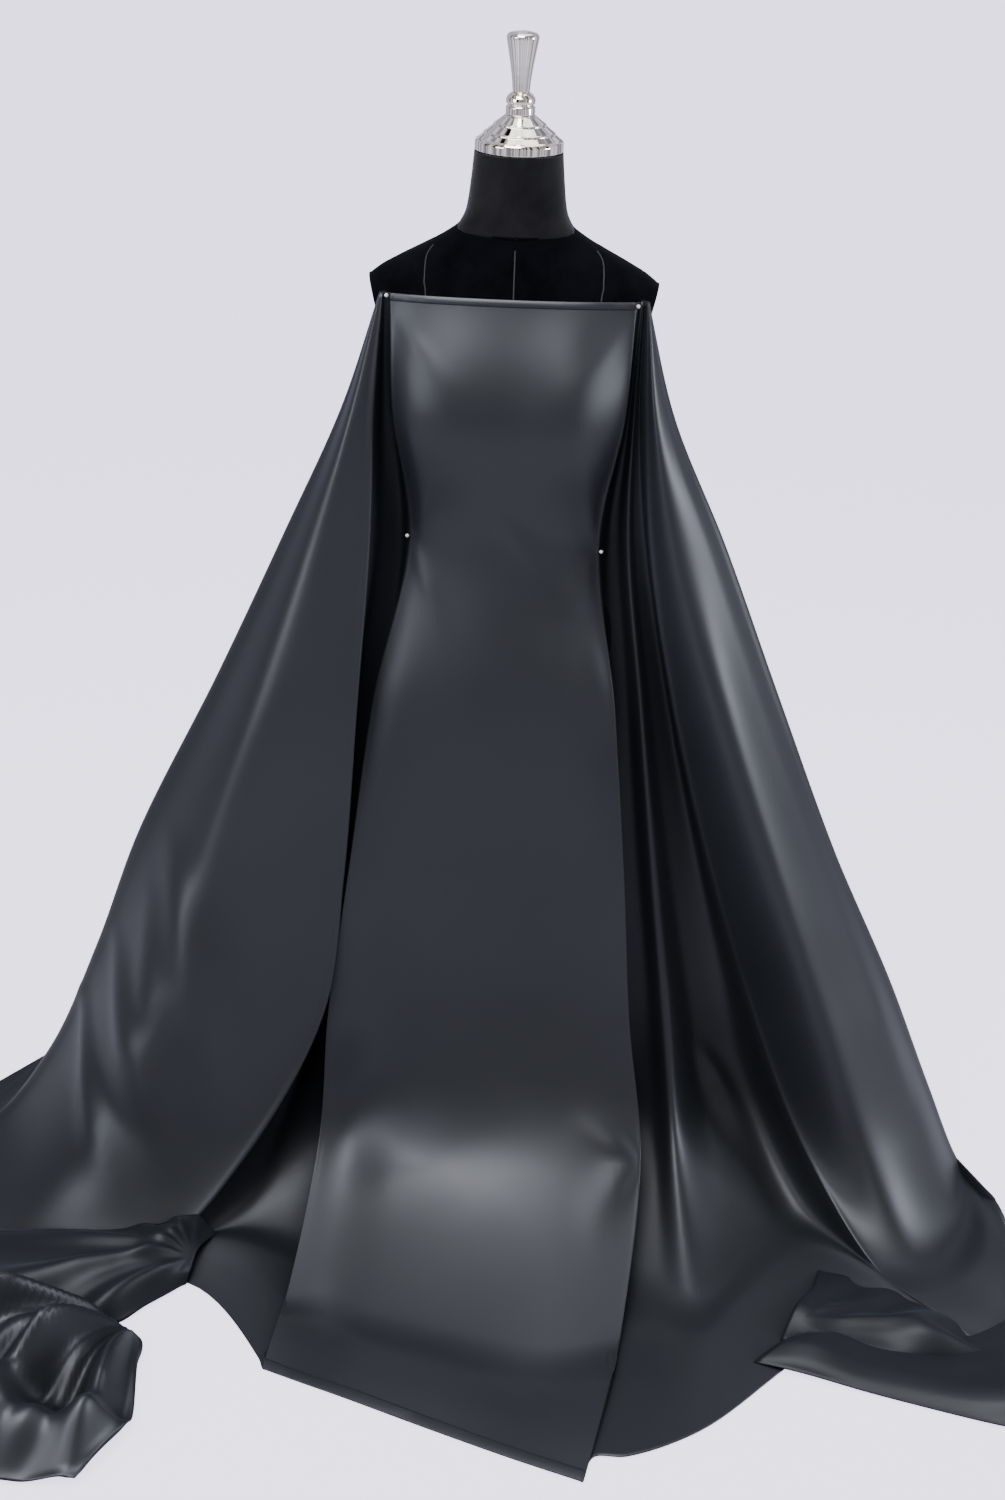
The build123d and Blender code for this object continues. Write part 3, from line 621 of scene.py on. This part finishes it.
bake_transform(drape)


def hem(name, rows, out, width, bulge):
    """A sewn double hem along the first of the given rows of cloth, whose normals are out. It stands bulge
    proud of the cloth, with a slight pucker along the stitches."""
    steps = np.linalg.norm(np.diff(rows, axis=0), axis=-1)
    run = np.concatenate([np.zeros((1, rows.shape[1])), np.cumsum(steps, axis=0)])
    profile = np.linspace(-0.08, 1, 9)
    reach = np.clip(profile, 0, 1) * width
    height = bulge * np.sin(np.pi * np.clip(profile, 0.04, 0.97)) ** 0.35
    pucker_height = 0.0002
    place = np.arange(rows.shape[1])
    pucker = pucker_height * np.sin(1.9 * place) * np.sin(0.7 * place)
    strip = np.empty((len(profile), rows.shape[1], 3))
    for column in place:
        for axis in range(3):
            base = np.interp(reach, run[:, column], rows[:, column, axis])
            face = np.interp(reach, run[:, column], out[:, column, axis])
            strip[:, column, axis] = base + face * (height + pucker[column])
    piece = grid_object(name, strip, satin, 0.0006)
    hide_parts("satin_drape")
    return piece


cloth_out = grid_normals(cloth)
# The hems run between the folds at the front panel's edges, the bottom one a little past the left fold.
panel_edge_x = 0.152
left_fold = int(np.argmin(np.abs(cloth[0, :, 0] + panel_edge_x)))
right_fold = int(np.argmin(np.abs(cloth[0, :, 0] - panel_edge_x)))
top = np.s_[:12, left_fold:right_fold]
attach(hem("satin_top_hem", cloth[top], cloth_out[top], 0.009, 0.0016), "form")
bottom = np.s_[:-31:-1, left_fold - 14 : right_fold]
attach(hem("satin_bottom_hem", cloth[bottom], cloth_out[bottom], 0.016, 0.0014), "collar")


def pool(name, outline_rows, waves, counts, fans=(), material=satin):
    """Cloth lying in folds on the floor, through rows of (x, y, z) points. Waves are (folds across, folds
    along, phase, height), and fans are folds that spread from a point: (x, y, folds, phase, height)."""
    surface = smooth_through(np.array(outline_rows, float), counts)
    surface = smooth_through(np.swapaxes(surface, 0, 1), counts)
    rows, columns = surface.shape[:2]
    u, v = np.meshgrid(np.linspace(0, 1, columns), np.linspace(0, 1, rows))
    for across, along, phase, height in waves:
        edge = np.sin(np.pi * np.clip(u, 0.02, 0.98)) ** 0.5
        fold = (0.5 + 0.5 * np.sin(2 * np.pi * (across * u + along * v) + phase)) ** 2
        surface[..., 2] += height * edge * fold
    for centre_x, centre_y, count, phase, height in fans:
        away_x, away_y = surface[..., 0] - centre_x, surface[..., 1] - centre_y
        edge = (np.sin(np.pi * np.clip(u, 0.03, 0.97)) * np.sin(np.pi * np.clip(v, 0.03, 0.97))) ** 0.4
        fold = (0.5 + 0.5 * np.sin(count * np.arctan2(away_y, away_x) + phase)) ** 1.6
        surface[..., 2] += height * edge * fold * np.clip(np.hypot(away_x, away_y) / 0.15, 0, 1)
    surface[..., 2] = np.maximum(surface[..., 2], lowest_cloth)
    piece = grid_object(name, surface, material, cloth_thickness)
    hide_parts("satin_drape")
    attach(piece, "collar")


# the two heaps on the right take the duller satin copy, painted shade
pool("satin_pool_right_upper", [
    [(0.40, -0.462, 0.004), (0.48, -0.485, 0.004), (0.58, -0.492, 0.004), (0.69, -0.492, 0.004)],
    [(0.42, -0.43, 0.022), (0.50, -0.445, 0.026), (0.59, -0.462, 0.024), (0.69, -0.486, 0.012)],
    [(0.45, -0.38, 0.010), (0.53, -0.40, 0.010), (0.61, -0.44, 0.010), (0.69, -0.48, 0.008)],
    [(0.47, -0.32, 0.004), (0.56, -0.35, 0.004), (0.64, -0.41, 0.004), (0.70, -0.47, 0.004)],
], [(0.3, 1.6, 0.6, 0.014)], 18, [(0.42, -0.45, 14, 0.0, 0.010)], shaded_satin)  # fmt: skip
pool("satin_pool_right_lower", [
    [(0.36, -0.505, 0.003), (0.50, -0.55, 0.003), (0.66, -0.60, 0.003),
     (0.80, -0.64, 0.003), (0.92, -0.66, 0.003)],
    [(0.40, -0.48, 0.010), (0.52, -0.52, 0.016), (0.67, -0.56, 0.018),
     (0.80, -0.58, 0.018), (0.93, -0.58, 0.008)],
    [(0.44, -0.46, 0.004), (0.56, -0.47, 0.008), (0.70, -0.47, 0.010),
     (0.82, -0.47, 0.010), (0.93, -0.46, 0.004)],
    [(0.50, -0.42, 0.002), (0.62, -0.40, 0.002), (0.74, -0.33, 0.006),
     (0.84, -0.28, 0.006), (0.93, -0.27, 0.004)],
], [(0.2, 1.9, 0.4, 0.016), (1.9, -0.6, 1.2, 0.003)], 18, (), shaded_satin)  # fmt: skip
pool("satin_pool_left_front", [
    [(-0.455, -0.75, 0.003), (-0.56, -0.75, 0.003), (-0.70, -0.74, 0.003), (-0.92, -0.70, 0.003)],
    [(-0.412, -0.67, 0.010), (-0.52, -0.69, 0.050), (-0.68, -0.66, 0.050), (-0.92, -0.62, 0.010)],
    [(-0.408, -0.655, 0.004), (-0.52, -0.64, 0.012), (-0.68, -0.60, 0.012), (-0.92, -0.56, 0.006)],
    [(-0.418, -0.57, 0.016), (-0.52, -0.57, 0.060), (-0.68, -0.54, 0.055), (-0.92, -0.50, 0.010)],
    [(-0.425, -0.51, 0.006), (-0.50, -0.495, 0.030), (-0.66, -0.47, 0.030), (-0.92, -0.43, 0.004)],
    [(-0.47, -0.47, 0.002), (-0.56, -0.45, 0.010), (-0.68, -0.40, 0.006), (-0.92, -0.30, 0.004)],
], [(0.8, 1.7, 0.4, 0.008)], 22, [
    (-0.44, -0.47, 11, 0.6, 0.055), (-0.44, -0.47, 23, 1.9, 0.012),
])  # fmt: skip
# this heap also takes the duller satin copy, painted shade
pool("satin_pool_left_back", [
    [(-0.388, -0.396, 0.003), (-0.43, -0.44, 0.003), (-0.47, -0.485, 0.003),
     (-0.56, -0.50, 0.003), (-0.80, -0.53, 0.003)],
    [(-0.383, -0.385, 0.010), (-0.43, -0.405, 0.040), (-0.48, -0.43, 0.045),
     (-0.57, -0.45, 0.035), (-0.80, -0.46, 0.020)],
    [(-0.378, -0.36, 0.030), (-0.42, -0.36, 0.055), (-0.47, -0.385, 0.040),
     (-0.56, -0.40, 0.030), (-0.79, -0.40, 0.020)],
    [(-0.36, -0.31, 0.020), (-0.39, -0.30, 0.040), (-0.44, -0.31, 0.030),
     (-0.54, -0.33, 0.030), (-0.76, -0.33, 0.020)],
], [(0.9, 0.8, 0.0, 0.008)], 16, [(-0.385, -0.37, 13, 0.4, 0.022)], shaded_satin)  # fmt: skip

# ------------------------------------------------------------------ floor, light and camera
backdrop_colour = (0.80, 0.77, 1.0)


def streaks_by_bearing(tree, direction):
    """A value that goes up and down with the bearing of direction, for the streaks that chrome mirrors."""
    split = tree.nodes.new("ShaderNodeSeparateXYZ")
    tree.links.new(direction, split.inputs["Vector"])
    bearing = tree.nodes.new("ShaderNodeMath")
    bearing.operation = "ARCTAN2"
    tree.links.new(split.outputs["Y"], bearing.inputs[0])
    tree.links.new(split.outputs["X"], bearing.inputs[1])
    streaks = tree.nodes.new("ShaderNodeTexNoise")
    streaks.noise_dimensions = "1D"
    streaks.inputs["Scale"].default_value = 4.2
    streaks.inputs["Detail"].default_value = 3
    tree.links.new(bearing.outputs["Value"], streaks.inputs["W"])
    return to_range(tree, streaks.outputs["Fac"], 0, 1, 0.44, 0.56)


def seen_strength(tree, plain, camera_share, mirror_share, streaks):
    """A strength: plain for every ray, plus camera_share for what the camera sees directly, plus mirror_share
    times the streaks for what shows in a perfect mirror."""
    path = tree.nodes.new("ShaderNodeLightPath")
    mirrored = tree.nodes.new("ShaderNodeMath")
    mirrored.operation = "MULTIPLY"
    tree.links.new(path.outputs["Is Singular Ray"], mirrored.inputs[0])
    tree.links.new(streaks, mirrored.inputs[1])
    direct = tree.nodes.new("ShaderNodeMath")
    direct.operation = "MULTIPLY_ADD"
    tree.links.new(path.outputs["Is Camera Ray"], direct.inputs[0])
    direct.inputs[1].default_value = camera_share
    direct.inputs[2].default_value = plain
    total = tree.nodes.new("ShaderNodeMath")
    total.operation = "MULTIPLY_ADD"
    tree.links.new(mirrored.outputs["Value"], total.inputs[0])
    total.inputs[1].default_value = mirror_share
    tree.links.new(direct.outputs["Value"], total.inputs[2])
    return total.outputs["Value"]


# The backdrop is a floor that sweeps up into a wall behind the form.
sweep_radius = 2.0
back_y = 5.0
half_span, wall_top, floor_z = 40.0, 30.0, -0.0005
sweep = [(-half_span, floor_z)]
for angle in np.linspace(0, math.pi / 2, 24):
    sweep.append((back_y + sweep_radius * math.sin(angle), floor_z + sweep_radius * (1 - math.cos(angle))))
sweep.append((back_y + sweep_radius, wall_top))
backdrop_mesh = bpy.data.meshes.new("backdrop")
backdrop_mesh.from_pydata(
    [(x, y, z) for y, z in sweep for x in (-half_span, half_span)],
    [],
    [(2 * i, 2 * i + 1, 2 * i + 3, 2 * i + 2) for i in range(len(sweep) - 1)],
)
backdrop_mesh.polygons.foreach_set("use_smooth", [True] * len(backdrop_mesh.polygons))
backdrop = bpy.data.objects.new("backdrop", backdrop_mesh)
scene.collection.objects.link(backdrop)
backdrop_material, backdrop_tree, backdrop_shader = new_material("backdrop_pale")
set_values(backdrop_shader, Roughness=0.95, Specular_IOR_Level=0.05)
backdrop_shader.inputs["Base Color"].default_value = (0.42, 0.412, 0.46, 1)
backdrop_shader.inputs["Emission Color"].default_value = (*backdrop_colour, 1)
# The camera, and the mirror of the chrome, see the backdrop and the room brighter than they shine on the
# form, which keeps the dark cloth's contrast.
place = backdrop_tree.nodes.new("ShaderNodeNewGeometry").outputs["Position"]
backdrop_strength = seen_strength(backdrop_tree, 0.20, 2.35, 0.85, streaks_by_bearing(backdrop_tree, place))
backdrop_tree.links.new(backdrop_strength, backdrop_shader.inputs["Emission Strength"])
backdrop_mesh.materials.append(backdrop_material)

world = bpy.data.worlds.new("studio")
scene.world = world
world.use_nodes = True
room = world.node_tree
background = room.nodes["Background"]
room_streaks = streaks_by_bearing(room, room.nodes.new("ShaderNodeTexCoord").outputs["Generated"])
room.links.new(seen_strength(room, 0.3, 1.9, 0.45, room_streaks), background.inputs["Strength"])
room_colour = mix_colours(room, room_streaks, (0.02, 0.019, 0.018), (1.25, 1.2, 1.12))
# the camera itself sees the room in the backdrop's plain colour
room_path = room.nodes.new("ShaderNodeLightPath")
plain_or_streaks = room.nodes.new("ShaderNodeMix")
plain_or_streaks.data_type = "RGBA"
plain_or_streaks.inputs["B"].default_value = (*backdrop_colour, 1)
room.links.new(room_path.outputs["Is Camera Ray"], plain_or_streaks.inputs["Factor"])
room.links.new(room_colour, plain_or_streaks.inputs["A"])
room.links.new(plain_or_streaks.outputs["Result"], background.inputs["Color"])


def area_light(name, location, target, size, power, colour=(1, 1, 1)):
    """A soft square light that points at target."""
    data = bpy.data.lights.new(name, "AREA")
    data.size = size
    data.energy = power
    data.color = colour
    light = bpy.data.objects.new(name, data)
    scene.collection.objects.link(light)
    light.location = location
    away = np.array(location, float) - np.array(target, float)
    flat = math.hypot(away[0], away[1])
    light.rotation_euler = (math.atan2(flat, away[2]), 0, math.atan2(away[1], away[0]) + math.pi / 2)


area_light("key", (-0.5, -1.7, 3.5), (0, -0.2, 0.7), 1.9, 122, (1, 0.99, 0.98))
area_light("right_rim", (3.0, -0.6, 1.4), (0.4, 0, 0.8), 0.9, 46, (0.95, 0.97, 1))
area_light("top_fill", (0.2, 0.5, 3.8), (0, -0.6, 0), 1.6, 20, (0.95, 0.97, 1))
area_light("left_fill", (-2.3, -1.9, 1.7), (-0.3, 0, 0.6), 1.2, 30, (0.95, 0.97, 1))

camera_data = bpy.data.cameras.new("camera")
camera = bpy.data.objects.new("camera", camera_data)
scene.collection.objects.link(camera)
camera_data.sensor_fit = "VERTICAL"
camera_data.sensor_height = 36
camera_data.lens = 43.9
camera_place = Matrix.Translation((0.008, -2.35, 1.65))
looks_down, roll = math.radians(23.5), math.radians(2.2)
tilt = Matrix.Rotation(math.pi / 2 - looks_down, 4, "X")
camera.matrix_world = camera_place @ tilt @ Matrix.Rotation(roll, 4, "Z")
scene.camera = camera
